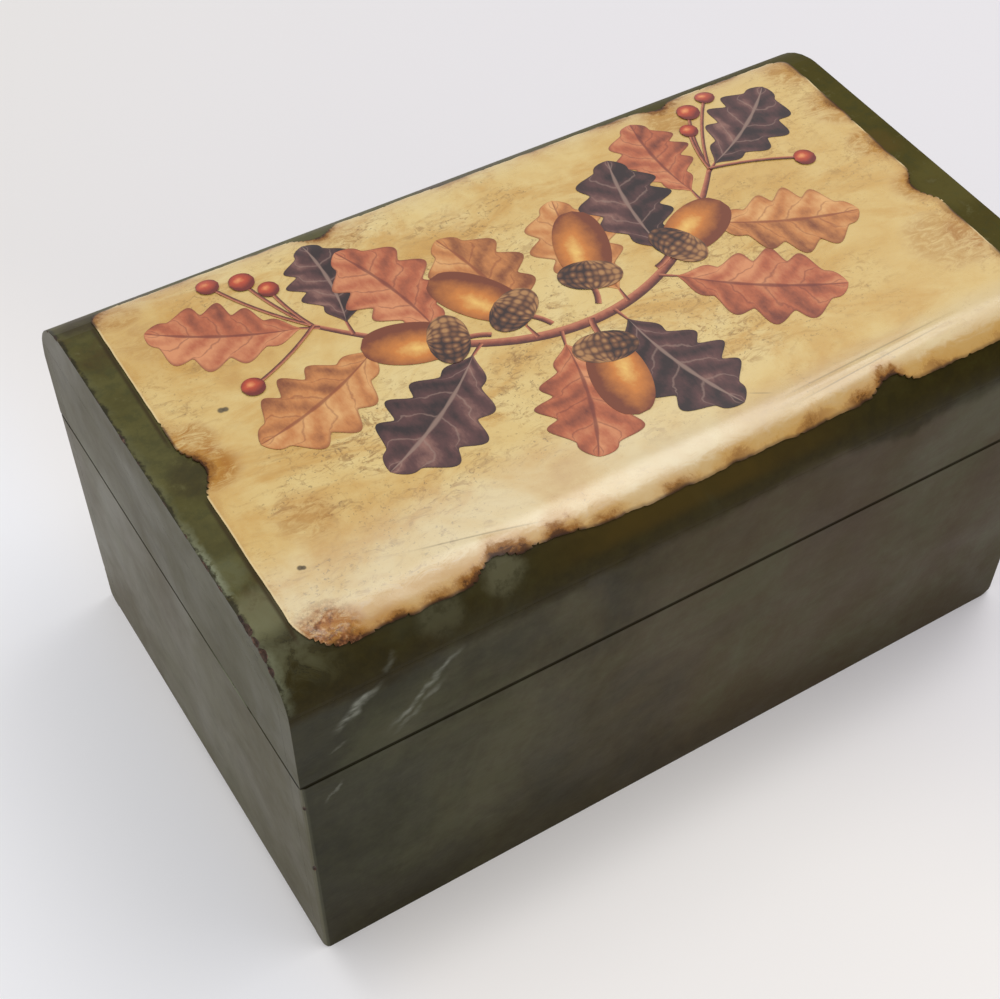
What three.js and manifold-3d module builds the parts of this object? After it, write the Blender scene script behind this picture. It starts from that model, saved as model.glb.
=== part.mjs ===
// Hinged wooden keepsake box: a rounded lid with a torn-edged paper print, on a base of boards and a panel.
// Millimetres. +X runs along the front, +Y to the back, +Z up. The origin is under the middle of the base.
import * as THREE from "three";
import { mergeVertices } from "three/addons/utils/BufferGeometryUtils.js";
import Module from "manifold-3d";

const wasm = await Module();
wasm.setup();

// Driving dimensions of the case
const length = 200;
const width = 120;
const baseHeight = 68; // from the underside to the middle of the seam
const lidHeight = 36; // from the middle of the seam to the top
const seamGap = 0.3;
const wall = 9;
const cornerLap = 5; // wood of a long board left over the end of an end board
const panelThickness = 5;
const panelInset = 4.5; // how far the bottom panel is let into each board
const topBoardThickness = 12;
const frontRound = 13;
const backRound = 19.5;
const glueLine = 0.05;

// Driving dimensions of the paper print; its corners are measured level, from the lid's ends and long faces
const paperThickness = 0.3;
const paperCorners = {
  frontLeft: { fromEnd: 7.3, fromFace: 3.8, round: 9 },
  frontRight: { fromEnd: 8.6, fromFace: 3.2, round: 6 },
  backRight: { fromEnd: 6, fromFace: 12, round: 4 },
  backLeft: { fromEnd: 8.4, fromFace: 10.5, round: 6 },
};
const tears = [
  { edge: "front", from: "frontLeft", at: 41, reach: 6, depth: 2.2 },
  { edge: "front", from: "frontLeft", at: 51, reach: 18, depth: 1.6 },
  { edge: "front", from: "frontRight", at: 45, reach: 7, depth: 2.4 },
  { edge: "right", from: "frontRight", at: 47, reach: 7, depth: 2.8 },
  { edge: "back", from: "backRight", at: 39, reach: 6, depth: 2.4 },
  { edge: "back", from: "backLeft", at: 54, reach: 7, depth: 3 },
  { edge: "left", from: "frontLeft", at: 51, reach: 8, depth: 2.8 },
];
const raggedDepth = { front: 0.3, right: 0.2, back: 0.4, left: 0.08 };
const raggedPitch = 17;
const finePitch = 6.5;
const outlineStep = 3; // spacing of points along the torn edges
const cornerSteps = 4;

// Driving dimensions of the two brass hinges
const hingeLength = 26;
const hingeInset = 38; // from an end of the box to the middle of a hinge
const leafWidth = 7.4; // from the pin's axis to the leaf's free edge
const leafThickness = 0.9;
const barrelRadius = 1.6;
const pinRadius = 0.7;
const pinHead = 0.4; // the head stands this much over the pin, and is as thick
const pinDepth = 0.6; // how far the pin's axis lies inside the back face
const pinClearance = 0.08;
const knuckles = 5;
const knuckleGap = 0.2;
const mortiseGap = 0.2;
const openAngle = 110; // degrees at which the bevelled back edges meet
const stopSlack = 1;

// Driving dimensions of the wood screws
const screwSpacing = 15;
const screwSetback = 4.6; // from the pin's axis
const screwLength = 8;
const screwShank = 0.8;
const screwHead = 1.6;
const screwPoint = 1.8;
const slotWidth = 0.4;
const slotDepth = 0.35;
const slotTurn = 37; // degrees from one screw's slot to the next one's
const screwClearance = 0.06;
const pilotClearance = 0.1;

const arcSteps = 5; // a quarter round has twice as many facets
const barrelSides = 24;
const screwSides = 16;

// Levels and places that follow from the sizes above
const left = -length / 2;
const right = length / 2;
const front = -width / 2;
const back = width / 2;
const baseRim = baseHeight - seamGap / 2;
const lidRim = baseHeight + seamGap / 2;
const lidTop = baseHeight + lidHeight;
const boardUnderside = lidTop - topBoardThickness;
const pinY = back - pinDepth;
const overrun = 1; // a cutter runs this far past the face that it cuts
const weldDistance = 1e-4;

const finishes = {
  paint: { color: 0x4a4834, roughness: 0.42, metalness: 0 },
  plywood: { color: 0xb08a5a, roughness: 0.7, metalness: 0 },
  paper: { color: 0xd9bd84, roughness: 0.3, metalness: 0 },
  brass: { color: 0xb08d45, roughness: 0.35, metalness: 1 },
};

// Solids from geometries and back

function solidOf(geometry) {
  const bare = geometry.clone();
  bare.deleteAttribute("normal");
  bare.deleteAttribute("uv");
  const merged = mergeVertices(bare, weldDistance);
  const vertProperties = merged.attributes.position.array;
  const triVerts = new Uint32Array(merged.index.array);
  return new wasm.Manifold(new wasm.Mesh({ numProp: 3, vertProperties, triVerts }));
}

function meshOf(name, solid, finish) {
  const { vertProperties, triVerts } = solid.getMesh();
  const geometry = new THREE.BufferGeometry();
  geometry.setAttribute("position", new THREE.BufferAttribute(vertProperties, 3));
  geometry.setIndex(new THREE.BufferAttribute(triVerts, 1));
  const faceted = geometry.toNonIndexed();
  faceted.computeVertexNormals();
  const mesh = new THREE.Mesh(faceted, new THREE.MeshStandardMaterial(finishes[finish]));
  mesh.name = name;
  return mesh;
}

function block([x0, y0, z0], [x1, y1, z1]) {
  const geometry = new THREE.BoxGeometry(x1 - x0, y1 - y0, z1 - z0);
  return solidOf(geometry.translate((x0 + x1) / 2, (y0 + y1) / 2, (z0 + z1) / 2));
}

// A section drawn in Y and Z, run along X from x0 to x1.
function barAlongX(section, x0, x1) {
  const options = { depth: x1 - x0, bevelEnabled: false, curveSegments: arcSteps };
  const geometry = new THREE.ExtrudeGeometry(section, options);
  const turn = new THREE.Matrix4().makeBasis(
    new THREE.Vector3(0, 1, 0),
    new THREE.Vector3(0, 0, 1),
    new THREE.Vector3(1, 0, 0),
  );
  return solidOf(geometry.applyMatrix4(turn).translate(x0, 0, 0));
}

function rodAlongX(radius, x0, x1) {
  const geometry = new THREE.CylinderGeometry(radius, radius, x1 - x0, barrelSides);
  return solidOf(geometry.rotateZ(-Math.PI / 2).translate((x0 + x1) / 2, 0, 0));
}

// A profile of [radius, height] points turned about Z.
function turned(profile, sides) {
  const points = profile.map(([radius, height]) => new THREE.Vector2(radius, height));
  return solidOf(new THREE.LatheGeometry(points, sides).rotateX(Math.PI / 2));
}

// Case

// The lid's outline seen from the end, grown outwards by a film of that thickness.
function lidOutline(film) {
  const outline = new THREE.Shape();
  outline.moveTo(front - film, lidRim);
  outline.lineTo(front - film, lidTop - frontRound);
  outline.absarc(
    front + frontRound, lidTop - frontRound, frontRound + film, Math.PI, Math.PI / 2, true,
  );
  outline.absarc(back - backRound, lidTop - backRound, backRound + film, Math.PI / 2, 0, true);
  outline.lineTo(back + film, lidRim);
  return outline;
}

// Two long boards lapped over two end boards, between two levels.
function fourBoards(low, high) {
  const endBoard = (x0, x1, gap) =>
    block(
      [x0 - gap, front + cornerLap - gap, low - gap],
      [x1 + gap, back - cornerLap + gap, high + gap],
    );
  const leftPocket = endBoard(left, left + wall, glueLine);
  const rightPocket = endBoard(right - wall, right, glueLine);
  const longBoard = (y0, y1) =>
    block([left, y0, low], [right, y1, high]).subtract(leftPocket).subtract(rightPocket);
  return {
    front: longBoard(front, front + wall),
    back: longBoard(back - wall, back),
    left: endBoard(left, left + wall, 0),
    right: endBoard(right - wall, right, 0),
  };
}

function bottomPanel(gap) {
  const inset = wall - panelInset - gap;
  return block(
    [left + inset, front + inset, gap > 0 ? -overrun : 0],
    [right - inset, back - inset, panelThickness + gap],
  );
}

// The wedge cut off a back edge at the seam, below it for side -1 and above it for side +1.
// The two bevels meet when the lid is just past its open angle.
function stopBevel(side) {
  const reach = pinDepth + overrun;
  const drop = reach * Math.tan(THREE.MathUtils.degToRad((openAngle + stopSlack) / 2));
  const section = new THREE.Shape();
  section.moveTo(pinY, baseHeight);
  section.lineTo(pinY + reach, baseHeight);
  section.lineTo(pinY + reach, baseHeight + side * drop);
  return barAlongX(section, left - overrun, right + overrun);
}

// Hinges, about a pin on the X axis of their own group

const hingeCentres = { left: left + hingeInset, right: right - hingeInset };
const screwPlaces = [-screwSpacing / 2, screwSpacing / 2];
const knucklePitch = hingeLength / knuckles;
const leafFace = seamGap / 2; // a leaf's inner face lies this far from the pin's axis
const headHeight = screwHead - screwShank;

// A screw with its head's top at the origin and its point down; a hole is the same shape grown by a gap.
function screwBody(gap) {
  return turned(
    [
      [0, -screwLength - gap],
      [screwShank + gap, -screwLength + screwPoint - gap],
      [screwShank + gap, -headHeight],
      [screwHead + gap, 0],
      [0, 0],
    ],
    screwSides,
  );
}

function screwHole(gap) {
  const mouth = turned(
    [
      [0, -gap],
      [screwHead + gap, -gap],
      [screwHead + gap, overrun],
      [0, overrun],
    ],
    screwSides,
  );
  return screwBody(gap).translate(0, 0, -gap).add(mouth);
}

function slottedScrew(turn) {
  const slot = block([-screwHead, -slotWidth / 2, -slotDepth], [screwHead, slotWidth / 2, overrun]);
  return screwBody(0).subtract(slot.rotate(0, 0, turn));
}

// Where the knuckles of a leaf start; the base's leaf has the first one and every other one after it.
function knuckleStarts(side) {
  const starts = Array.from({ length: knuckles }, (_, index) => -hingeLength / 2 + index * knucklePitch);
  return starts.filter((_, index) => (index % 2 === 0) === side < 0);
}

// The base's leaf for side -1 and the lid's for side +1.
function hingeLeaf(side) {
  const edge = hingeLength / 2;
  const [low, high] = [side * leafFace, side * (leafFace + leafThickness)].sort((a, b) => a - b);
  let leaf = block([-edge, -leafWidth, low], [edge, 0, high]);
  for (const start of knuckleStarts(side)) {
    const end = start + knucklePitch;
    leaf = leaf.add(rodAlongX(barrelRadius, start + knuckleGap / 2, end - knuckleGap / 2));
  }
  for (const start of knuckleStarts(-side)) {
    const end = start + knucklePitch;
    leaf = leaf.subtract(
      rodAlongX(barrelRadius + knuckleGap, start - knuckleGap / 2, end + knuckleGap / 2),
    );
  }
  leaf = leaf.subtract(rodAlongX(pinRadius + pinClearance, -edge - overrun, edge + overrun));
  for (const x of screwPlaces) {
    leaf = leaf.subtract(placedOnLeaf(screwHole(screwClearance), x, side));
  }
  return leaf;
}

function placedOnLeaf(solid, x, side) {
  const upright = side < 0 ? solid : solid.rotate(180, 0, 0);
  return upright.translate(x, -screwSetback, side * leafFace);
}

function hingePin() {
  const end = hingeLength / 2;
  const head = pinRadius + pinHead;
  return rodAlongX(pinRadius, -end - knuckleGap, end + knuckleGap)
    .add(rodAlongX(head, -end - knuckleGap - pinHead, -end - knuckleGap))
    .add(rodAlongX(head, end + knuckleGap, end + knuckleGap + pinHead));
}

// What a hinge takes out of the wood on one side: the leaf's mortise, the barrel's groove and the pilots.
function hingeMortise(side) {
  const edge = hingeLength / 2 + mortiseGap;
  const floor = side * (leafFace + leafThickness + glueLine);
  const [low, high] = [floor, -side * overrun].sort((a, b) => a - b);
  const grooveEnd = hingeLength / 2 + knuckleGap + pinHead + mortiseGap;
  let cut = block([-edge, -leafWidth - mortiseGap, low], [edge, pinDepth + overrun, high]);
  cut = cut.add(rodAlongX(barrelRadius + mortiseGap, -grooveEnd, grooveEnd));
  for (const x of screwPlaces) {
    cut = cut.add(placedOnLeaf(screwHole(pilotClearance), x, side));
  }
  return cut;
}

function withHingeMortises(board, side) {
  let cut = board;
  for (const x of Object.values(hingeCentres)) {
    cut = cut.subtract(hingeMortise(side).translate(x, pinY, baseHeight));
  }
  return cut;
}

// Paper print

// The corners of the sheet before it was torn.
function paperCornerPoints() {
  const { frontLeft, frontRight, backRight, backLeft } = paperCorners;
  return {
    frontLeft: new THREE.Vector2(left + frontLeft.fromEnd, front + frontLeft.fromFace),
    frontRight: new THREE.Vector2(right - frontRight.fromEnd, front + frontRight.fromFace),
    backRight: new THREE.Vector2(right - backRight.fromEnd, back - backRight.fromFace),
    backLeft: new THREE.Vector2(left + backLeft.fromEnd, back - backLeft.fromFace),
  };
}

// How far a torn edge falls back inside the sheet's straight edge, at a distance from its start.
function tearDepth(edge, distance) {
  const phase = 2 * Math.PI * distance;
  const wave = Math.sin(phase / raggedPitch) + Math.sin(phase / finePitch) / 2;
  let depth = raggedDepth[edge.name] * (1 + wave);
  for (const tear of tears.filter((each) => each.edge === edge.name)) {
    const centre = tear.from === edge.start ? tear.at : edge.run - tear.at;
    const offset = Math.abs(distance - centre) / tear.reach;
    if (offset < 1) {
      depth += (tear.depth * (1 + Math.cos(Math.PI * offset))) / 2;
    }
  }
  return depth;
}

function tornEdge(edge, from, to) {
  const along = to.clone().sub(from).normalize();
  const inward = new THREE.Vector2(-along.y, along.x);
  const begin = paperCorners[edge.start].round;
  const end = edge.run - paperCorners[edge.end].round;
  const steps = Math.max(2, Math.round((end - begin) / outlineStep));
  const points = [];
  for (let step = 0; step <= steps; step += 1) {
    const distance = begin + ((end - begin) * step) / steps;
    const depth = tearDepth(edge, distance);
    points.push(from.clone().addScaledVector(along, distance).addScaledVector(inward, depth));
  }
  return points;
}

// A worn corner: a curve between the ends of two torn edges, drawn halfway out to the sharp corner.
function wornCorner(before, corner, after) {
  const pull = before.clone().add(after).multiplyScalar(0.5).lerp(corner, 0.5);
  return new THREE.QuadraticBezierCurve(before, pull, after).getPoints(cornerSteps).slice(1, -1);
}

function paperOutline() {
  const corners = paperCornerPoints();
  const names = Object.keys(corners);
  const sides = ["front", "right", "back", "left"];
  const edges = sides.map((name, index) => {
    const [start, end] = [names[index], names[(index + 1) % names.length]];
    const edge = { name, start, end, run: corners[start].distanceTo(corners[end]) };
    return tornEdge(edge, corners[start], corners[end]);
  });
  return edges.flatMap((points, index) => {
    const next = edges[(index + 1) % edges.length];
    const corner = corners[names[(index + 1) % names.length]];
    return [...points, ...wornCorner(points.at(-1), corner, next[0])];
  });
}

function paperPrint() {
  const skin = barAlongX(lidOutline(glueLine + paperThickness), left, right);
  const inside = barAlongX(lidOutline(glueLine), left - overrun, right + overrun);
  const options = { depth: lidHeight, bevelEnabled: false };
  const cutter = new THREE.ExtrudeGeometry(new THREE.Shape(paperOutline()), options);
  return skin.subtract(inside).intersect(solidOf(cutter.translate(0, 0, baseHeight + overrun)));
}

// Assembly

function baseGroup() {
  const group = new THREE.Group();
  const boards = fourBoards(0, baseRim);
  boards.back = withHingeMortises(boards.back.subtract(stopBevel(-1)), -1);
  const pocket = bottomPanel(glueLine);
  for (const [place, board] of Object.entries(boards)) {
    group.add(meshOf(`base_${place}_board`, board.subtract(pocket), "paint"));
  }
  group.add(meshOf("base_bottom_panel", bottomPanel(0), "plywood"));
  return group;
}

function lidGroup() {
  const group = new THREE.Group();
  const form = barAlongX(lidOutline(0), left, right);
  const boards = fourBoards(lidRim, boardUnderside - glueLine);
  boards.back = withHingeMortises(boards.back.subtract(stopBevel(1)), 1);
  for (const [place, board] of Object.entries(boards)) {
    group.add(meshOf(`lid_${place}_rail`, board.intersect(form), "paint"));
  }
  const topBoard = block([left, front, boardUnderside], [right, back, lidTop]).intersect(form);
  group.add(meshOf("lid_top_board", topBoard, "paint"));
  group.add(meshOf("lid_paper_print", paperPrint(), "paper"));
  return group;
}

function hingeGroup(place, x) {
  const group = new THREE.Group();
  group.position.set(x, pinY, baseHeight);
  group.add(meshOf(`${place}_hinge_base_leaf`, hingeLeaf(-1), "brass"));
  group.add(meshOf(`${place}_hinge_lid_leaf`, hingeLeaf(1), "brass"));
  group.add(meshOf(`${place}_hinge_pin`, hingePin(), "brass"));
  const sides = { base: -1, lid: 1 };
  for (const [part, side] of Object.entries(sides)) {
    screwPlaces.forEach((screwX, index) => {
      const screw = placedOnLeaf(slottedScrew(slotTurn * (index + side)), screwX, side);
      group.add(meshOf(`${place}_hinge_${part}_screw_${index + 1}`, screw, "brass"));
    });
  }
  return group;
}

const box = new THREE.Group();
box.add(baseGroup(), lidGroup());
for (const [place, x] of Object.entries(hingeCentres)) {
  box.add(hingeGroup(place, x));
}

export default box;
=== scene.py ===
"""A hinged keepsake box: olive-painted wood, a torn print varnished over its lid, brass hinges."""

import math
from contextlib import contextmanager

import bpy
import numpy as np
from mathutils import Matrix, Quaternion, Vector, noise


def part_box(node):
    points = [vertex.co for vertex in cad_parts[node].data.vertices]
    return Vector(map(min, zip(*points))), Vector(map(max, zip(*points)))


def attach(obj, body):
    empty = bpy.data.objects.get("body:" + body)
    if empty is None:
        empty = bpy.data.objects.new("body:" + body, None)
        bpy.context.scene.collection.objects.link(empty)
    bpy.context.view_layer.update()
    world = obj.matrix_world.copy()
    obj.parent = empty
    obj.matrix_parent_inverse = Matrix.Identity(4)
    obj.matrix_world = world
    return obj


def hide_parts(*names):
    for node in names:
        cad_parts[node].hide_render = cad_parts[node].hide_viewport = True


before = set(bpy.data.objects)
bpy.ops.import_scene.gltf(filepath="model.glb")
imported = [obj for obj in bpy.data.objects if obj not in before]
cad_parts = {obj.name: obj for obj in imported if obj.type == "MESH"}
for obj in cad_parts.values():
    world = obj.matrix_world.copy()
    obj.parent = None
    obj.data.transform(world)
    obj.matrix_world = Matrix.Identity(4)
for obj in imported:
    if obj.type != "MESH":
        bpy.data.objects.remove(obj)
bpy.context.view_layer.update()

MM = 0.001

# The case, in metres, about the middle of its underside
HALF_LENGTH = 0.100
HALF_WIDTH = 0.060
BASE_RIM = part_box("base_front_board")[1].z
LID_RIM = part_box("lid_front_rail")[0].z
LID_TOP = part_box("lid_top_board")[1].z
WELL_HALF_LENGTH = 0.091
WELL_HALF_WIDTH = 0.051
FRONT_ROUND = 0.013
BACK_ROUND = 0.0195
FRONT_CENTRE = Vector((0, FRONT_ROUND - HALF_WIDTH, LID_TOP - FRONT_ROUND))
BACK_CENTRE = Vector((0, HALF_WIDTH - BACK_ROUND, LID_TOP - BACK_ROUND))

# The paper print, in millimetres as it was measured
PRINT_CORNERS = {
    "front_left": (-92.7, -56.2),
    "front_right": (91.4, -56.8),
    "back_right": (94.0, 48.0),
    "back_left": (-91.6, 49.5),
}
CORNER_ROUNDS = {"front_left": 8.5, "front_right": 6, "back_right": 4.5, "back_left": 3.5}
TEARS = {  # along each edge: where the tear is, half its length, its depth
    "front": ((-51.7, 6, 2.2), (-41.7, 18, 1.6), (46.4, 7, 2.4)),
    "right": ((-9.8, 7, 2.8),),
    "back": ((55.0, 6, 2.4), (-37.6, 7, 3.0)),
    "left": ((-5.2, 8, 2.8),),
}
RAGGED = {"front": 0.32, "right": 0.24, "back": 0.4, "left": 0.09}
PRINT_LIFT = 0.35  # from the painted lid to the print's face
PRINT_THICKNESS = 0.3
PRINT_CELLS = (260, 160)
PRINT_GRID = (-96, 97, -59, 53)  # left, right, front and back of the grid that the print is cut from
FACE = 104.35  # height of the print's face where the lid is flat

# Pale scuffs on the lid's front: their ends in millimetres, half their width and their strength
FRONT_SCUFFS = (
    ((-92.2, -60, 80.8), (-81.6, -60, 90.0), 2.1, 0.7),
    ((-89.5, -60, 84.0), (-79.5, -60, 91.5), 1.1, 0.4),
    ((-81.2, -60, 72.4), (-60.8, -60, 91.2), 1.3, 0.5),
    ((-79.6, -60, 70.5), (-65.5, -60, 83.5), 1.2, 0.3),
    ((-80.5, -60, 93.5), (-76.0, -60, 96.5), 1.3, 0.22),
    ((-93.8, -60, 76.0), (-88.0, -60, 77.5), 0.7, 0.3),
    ((-96.0, -60, 59.0), (-90.0, -60, 64.5), 0.5, 0.3),
)

# Chips in the lid's left arris: place along it and the half sizes, in millimetres
ARRIS_CHIPS = (
    (51.0, 0.35, 0.9, 0.4),
    (45.9, 0.55, 1.5, 0.5),
    (37.5, 0.30, 0.8, 0.35),
    (23.0, 0.30, 1.3, 0.3),
    (10.7, 0.60, 1.7, 0.6),
    (3.0, 0.35, 1.0, 0.35),
    (-9.5, 0.30, 1.5, 0.35),
    (-19.0, 0.40, 0.9, 0.4),
    (-27.5, 0.45, 2.2, 0.4),
    (-34.0, 0.35, 1.3, 0.45),
    (-42.6, 0.80, 1.3, 0.8),
    (-45.4, 1.20, 1.7, 1.1),
    (-48.6, 1.00, 1.4, 1.2),
    (-51.6, 1.30, 1.7, 1.3),
    (-54.6, 0.80, 1.2, 1.2),
)
# Dents in the upright arrises of the base: the corner's x and y, the height and the half sizes
CORNER_CHIPS = (
    (-100, -60, 36.2, 0.85, 0.75, 1.2),
    (-100, -60, 60.5, 0.75, 0.7, 0.9),
    (100, 60, 33.0, 0.8, 0.8, 1.3),
    (-100, 60, 12.0, 0.8, 0.8, 1.1),
)
# Corners of the base that are worn round: the corner, the radius and how fast the wear runs out
WORN_CORNERS = (
    ((100, -60, 0), 4.2, 0.25),
    ((-100, -60, 0), 1.6, 0.35),
    ((-100, 60, 0), 1.8, 0.3),
    ((100, 60, 0), 2.2, 0.3),
)

# Creases of the print, on the lid's plan in millimetres: ends, half width and height
CREASES = (
    (-68, -44.1, -36, -51.8, 1.1, -0.10),
    (-66, -47.0, -30, -53.6, 1.8, 0.10),
    (18.6, -48.6, 72, -46.7, 0.9, -0.09),
    (19, -50.0, 72, -47.6, 1.3, 0.14),
    (19.8, -51.3, 71, -48.4, 0.9, -0.08),
    (18.8, -53.4, 70, -49.8, 1.5, 0.13),
    (6.7, -54.7, 24, -54.4, 1.2, -0.06),
)
# Lines on the print: ends in millimetres, half width; the lines along the creases are painted shade in their
# folds
CREASE_LINES = (
    ((-68, -44.1), (-36, -51.8), 0.30),
    ((18.6, -48.6), (72, -46.7), 0.32),
    ((19.8, -51.3), (71, -48.4), 0.26),
    ((15.8, -43.8), (21.0, -46.8), 0.28),
    ((43.9, 40.5), (45.8, 22.9), 0.18),
    ((45.8, 23.5), (43.6, 15.7), 0.16),
)
# Dark specks on the print: centre in millimetres and reach
DARK_SPOTS = (
    (-79.6, 7.5, FACE, 1),
    (-78.7, 7.3, FACE, 0.9),
    (-84.9, -37.6, FACE, 0.8),
    (-84.3, -37.9, FACE, 0.7),
)
# Where the torn edge is scorched: place, reach and strength
SCORCHES = (
    (-90, -4, 12, 0.62),
    (-91, 6, 7, 0.4),
    (-84, -57, 9, 0.75),
    (-74, -58, 9, 0.7),
    (-65, -57, 7, 0.6),
    (-57, -55, 7, 0.8),
    (-48, -52, 9, 1.0),
    (-36, -53, 8, 0.9),
    (-26, -54, 7, 0.65),
    (-10, -55, 9, 0.5),
    (6, -55, 8, 0.4),
    (24, -55, 10, 0.45),
    (38, -55, 8, 0.55),
    (46, -53, 8, 0.85),
    (60, -55, 9, 0.45),
    (80, -55, 10, 0.35),
    (90, -40, 11, 0.35),
    (91, -22, 9, 0.35),
    (91, -9, 10, 0.6),
    (92, 6, 10, 0.45),
    (92, 24, 12, 0.5),
    (92, 42, 10, 0.4),
    (76, 47, 9, 0.4),
    (56, 45, 11, 0.9),
    (42, 47, 9, 0.5),
    (22, 48, 9, 0.25),
    (0, 48, 10, 0.25),
    (-37, 46, 9, 0.75),
    (-50, 49, 8, 0.35),
    (-70, 49, 9, 0.25),
    (-90, 47, 7, 0.65),
)
# Brown stains in the print: centre in millimetres, reach and strength
PAPER_STAINS = (
    (-88, -6, FACE, 8, 0.75),
    (-88.5, 2, FACE, 7, 0.7),
    (-86.5, -54.2, 101.8, 9, 0.9),
    (-76, -56, 100.6, 5, 0.45),
    (-86, 44, FACE, 6, 0.4),
    (54, 40.5, FACE, 8, 0.5),
    (90.5, -9, FACE, 8, 0.55),
    (91.5, 8, FACE, 7.5, 0.65),
    (92, 24, FACE, 8, 0.5),
    (91, 42, FACE, 8, 0.5),
    (90.5, -28, FACE, 7, 0.45),
    (-83, 33, FACE, 8, 0.3),
    (-78, -27, FACE, 9, 0.4),
    (-33, 43, FACE, 7, 0.4),
    (85, -27, FACE, 12, 0.4),
)
SCUFF = (-87, -52.8, 5)  # where the print's corner is scuffed: place and reach


# Making and shaping


def deselect_all():
    if bpy.context.object and bpy.context.object.mode != "OBJECT":
        bpy.ops.object.mode_set(mode="OBJECT")
    bpy.ops.object.select_all(action="DESELECT")


def pick_up(piece):
    deselect_all()
    piece.select_set(True)
    bpy.context.view_layer.objects.active = piece


@contextmanager
def editing(piece, kind=None, chosen=None):
    """Edit mode with the whole piece selected, or only its chosen vertices or edges."""
    pick_up(piece)
    if kind:
        for group in ("vertices", "edges", "polygons"):
            marks = getattr(piece.data, group)
            marks.foreach_set("select", chosen if group == kind else [False] * len(marks))
        bpy.context.tool_settings.mesh_select_mode = (kind == "vertices", kind == "edges", False)
    bpy.ops.object.mode_set(mode="EDIT")
    if not kind:
        bpy.ops.mesh.select_all(action="SELECT")
    yield
    bpy.ops.object.mode_set(mode="OBJECT")


def flat_grid(name, cells):
    """A grid of points, one across, to be shaped."""
    deselect_all()
    bpy.ops.mesh.primitive_grid_add(x_subdivisions=cells[0], y_subdivisions=cells[1], size=1)
    piece = bpy.context.object
    piece.name = piece.data.name = name
    return piece


def points_of(piece):
    points = np.empty(len(piece.data.vertices) * 3)
    piece.data.vertices.foreach_get("co", points)
    return points.reshape(-1, 3)


def put_points(piece, points):
    piece.data.vertices.foreach_set("co", np.asarray(points, float).ravel())
    piece.data.update()


def mark_points(piece, name, values):
    """Writes a number at each point for a finish to read."""
    marks = piece.data.attributes.new(name, "FLOAT", "POINT")
    marks.data.foreach_set("value", np.asarray(values, float))


def apply_modifier(piece, kind, **settings):
    pick_up(piece)
    modifier = piece.modifiers.new(kind.title(), kind)
    for name, value in settings.items():
        setattr(modifier, name, value)
    bpy.ops.object.modifier_apply(modifier=modifier.name)


def flat_and_round(piece):
    """Flat faces stay flat, and eased or turned ones are smooth."""
    pick_up(piece)
    bpy.ops.object.shade_smooth_by_angle(angle=math.radians(35))
    apply_modifier(piece, "WEIGHTED_NORMAL", keep_sharp=True)


def thicken(sheet, thickness):
    """Gives a sheet its thickness below its face, in millimetres."""
    apply_modifier(sheet, "SOLIDIFY", thickness=thickness * MM, offset=-1)
    bpy.ops.object.shade_smooth_by_angle(angle=math.radians(50))


def whole_copy(node, name):
    """The same shape as a node of the frame, as one skin of whole flat faces."""
    piece = bpy.data.objects.new(name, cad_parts[node].data.copy())
    bpy.context.scene.collection.objects.link(piece)
    piece.data.name = name
    with editing(piece):
        bpy.ops.mesh.remove_doubles(threshold=0.002 * MM)
        bpy.ops.mesh.dissolve_limited(angle_limit=math.radians(0.5))
    return piece


def close_up(piece, near=0.004 * MM):
    """Merges points that a cut or a bevel left on top of each other, and fills what it left open."""
    with editing(piece):
        bpy.ops.mesh.remove_doubles(threshold=near)
        bpy.ops.mesh.select_all(action="SELECT")
        bpy.ops.mesh.dissolve_degenerate(threshold=near)
        bpy.ops.mesh.select_all(action="SELECT")
        bpy.ops.mesh.fill_holes(sides=0)


def dress(piece, *finishes):
    piece.data.materials.clear()
    for finish in finishes:
        piece.data.materials.append(finish)


def rides(piece, body, slot, *nodes):
    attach(piece, body)
    if nodes:
        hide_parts(*nodes)


# Finishes

VARNISH = 0.68
VARNISH_ROUGHNESS = 0.3
INK_GLOSS = 0.25
PAINT_GLOSS = 0.16
SEAM_GLOSS = 0.02
SEAM = 0.06815
LID_SHOULDER = 0.088  # no green of the lid's top below this height
LEAF_VEINS = 5

# Colours are given as they are seen, 0 to 255
OLIVE_LIGHT = (96, 92, 50)
OLIVE = (80, 75, 35)
OLIVE_BROWN = (70, 52, 24)
WAX_AND_DARK_REFLECTION = (40, 33, 9)
DARK_OLIVE_GREEN = (51, 48, 18)
CHALK = (158, 160, 146)
RUBBED = (124, 127, 102)

# Patches on the paint: centre in millimetres, reach, strength and colour
PAINT_PATCHES = (
    (-51, -56.2, 100.8, 6, 0.5, (104, 101, 76)),
    (-66, -57.5, 98, 6, 0.3, (98, 96, 74)),
    (-97.5, 2, 104, 11, 0.35, (68, 64, 34)),
    (-97.5, -22, 104, 9, 0.4, (68, 64, 34)),
    (-92.5, -6, 104, 7, 0.5, (46, 36, 18)),
    (-96.5, -43, 104, 8, 0.5, (122, 120, 88)),
    (-93.5, 48, 102, 7, 0.7, (50, 38, 18)),
    (-97.5, -32, 104, 5.5, 0.35, (112, 114, 84)),
    (94, 8, 104, 6, 0.4, (94, 72, 30)),
    (97, -12, 104, 11, 0.4, (98, 90, 44)),
)
# Dark wax along the print's left edge: ends on the lid's plan, in millimetres
WAX_LINES = (((-93.1, -54), (-92.7, -11)), ((-92.8, 2), (-92.2, 47)))


def linear(colour):
    """A colour as it is seen, 0 to 255, in the linear numbers that shaders take."""
    return [c / 12.92 if c <= 0.04045 else ((c + 0.055) / 1.055) ** 2.4 for c in np.array(colour) / 255]


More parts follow.
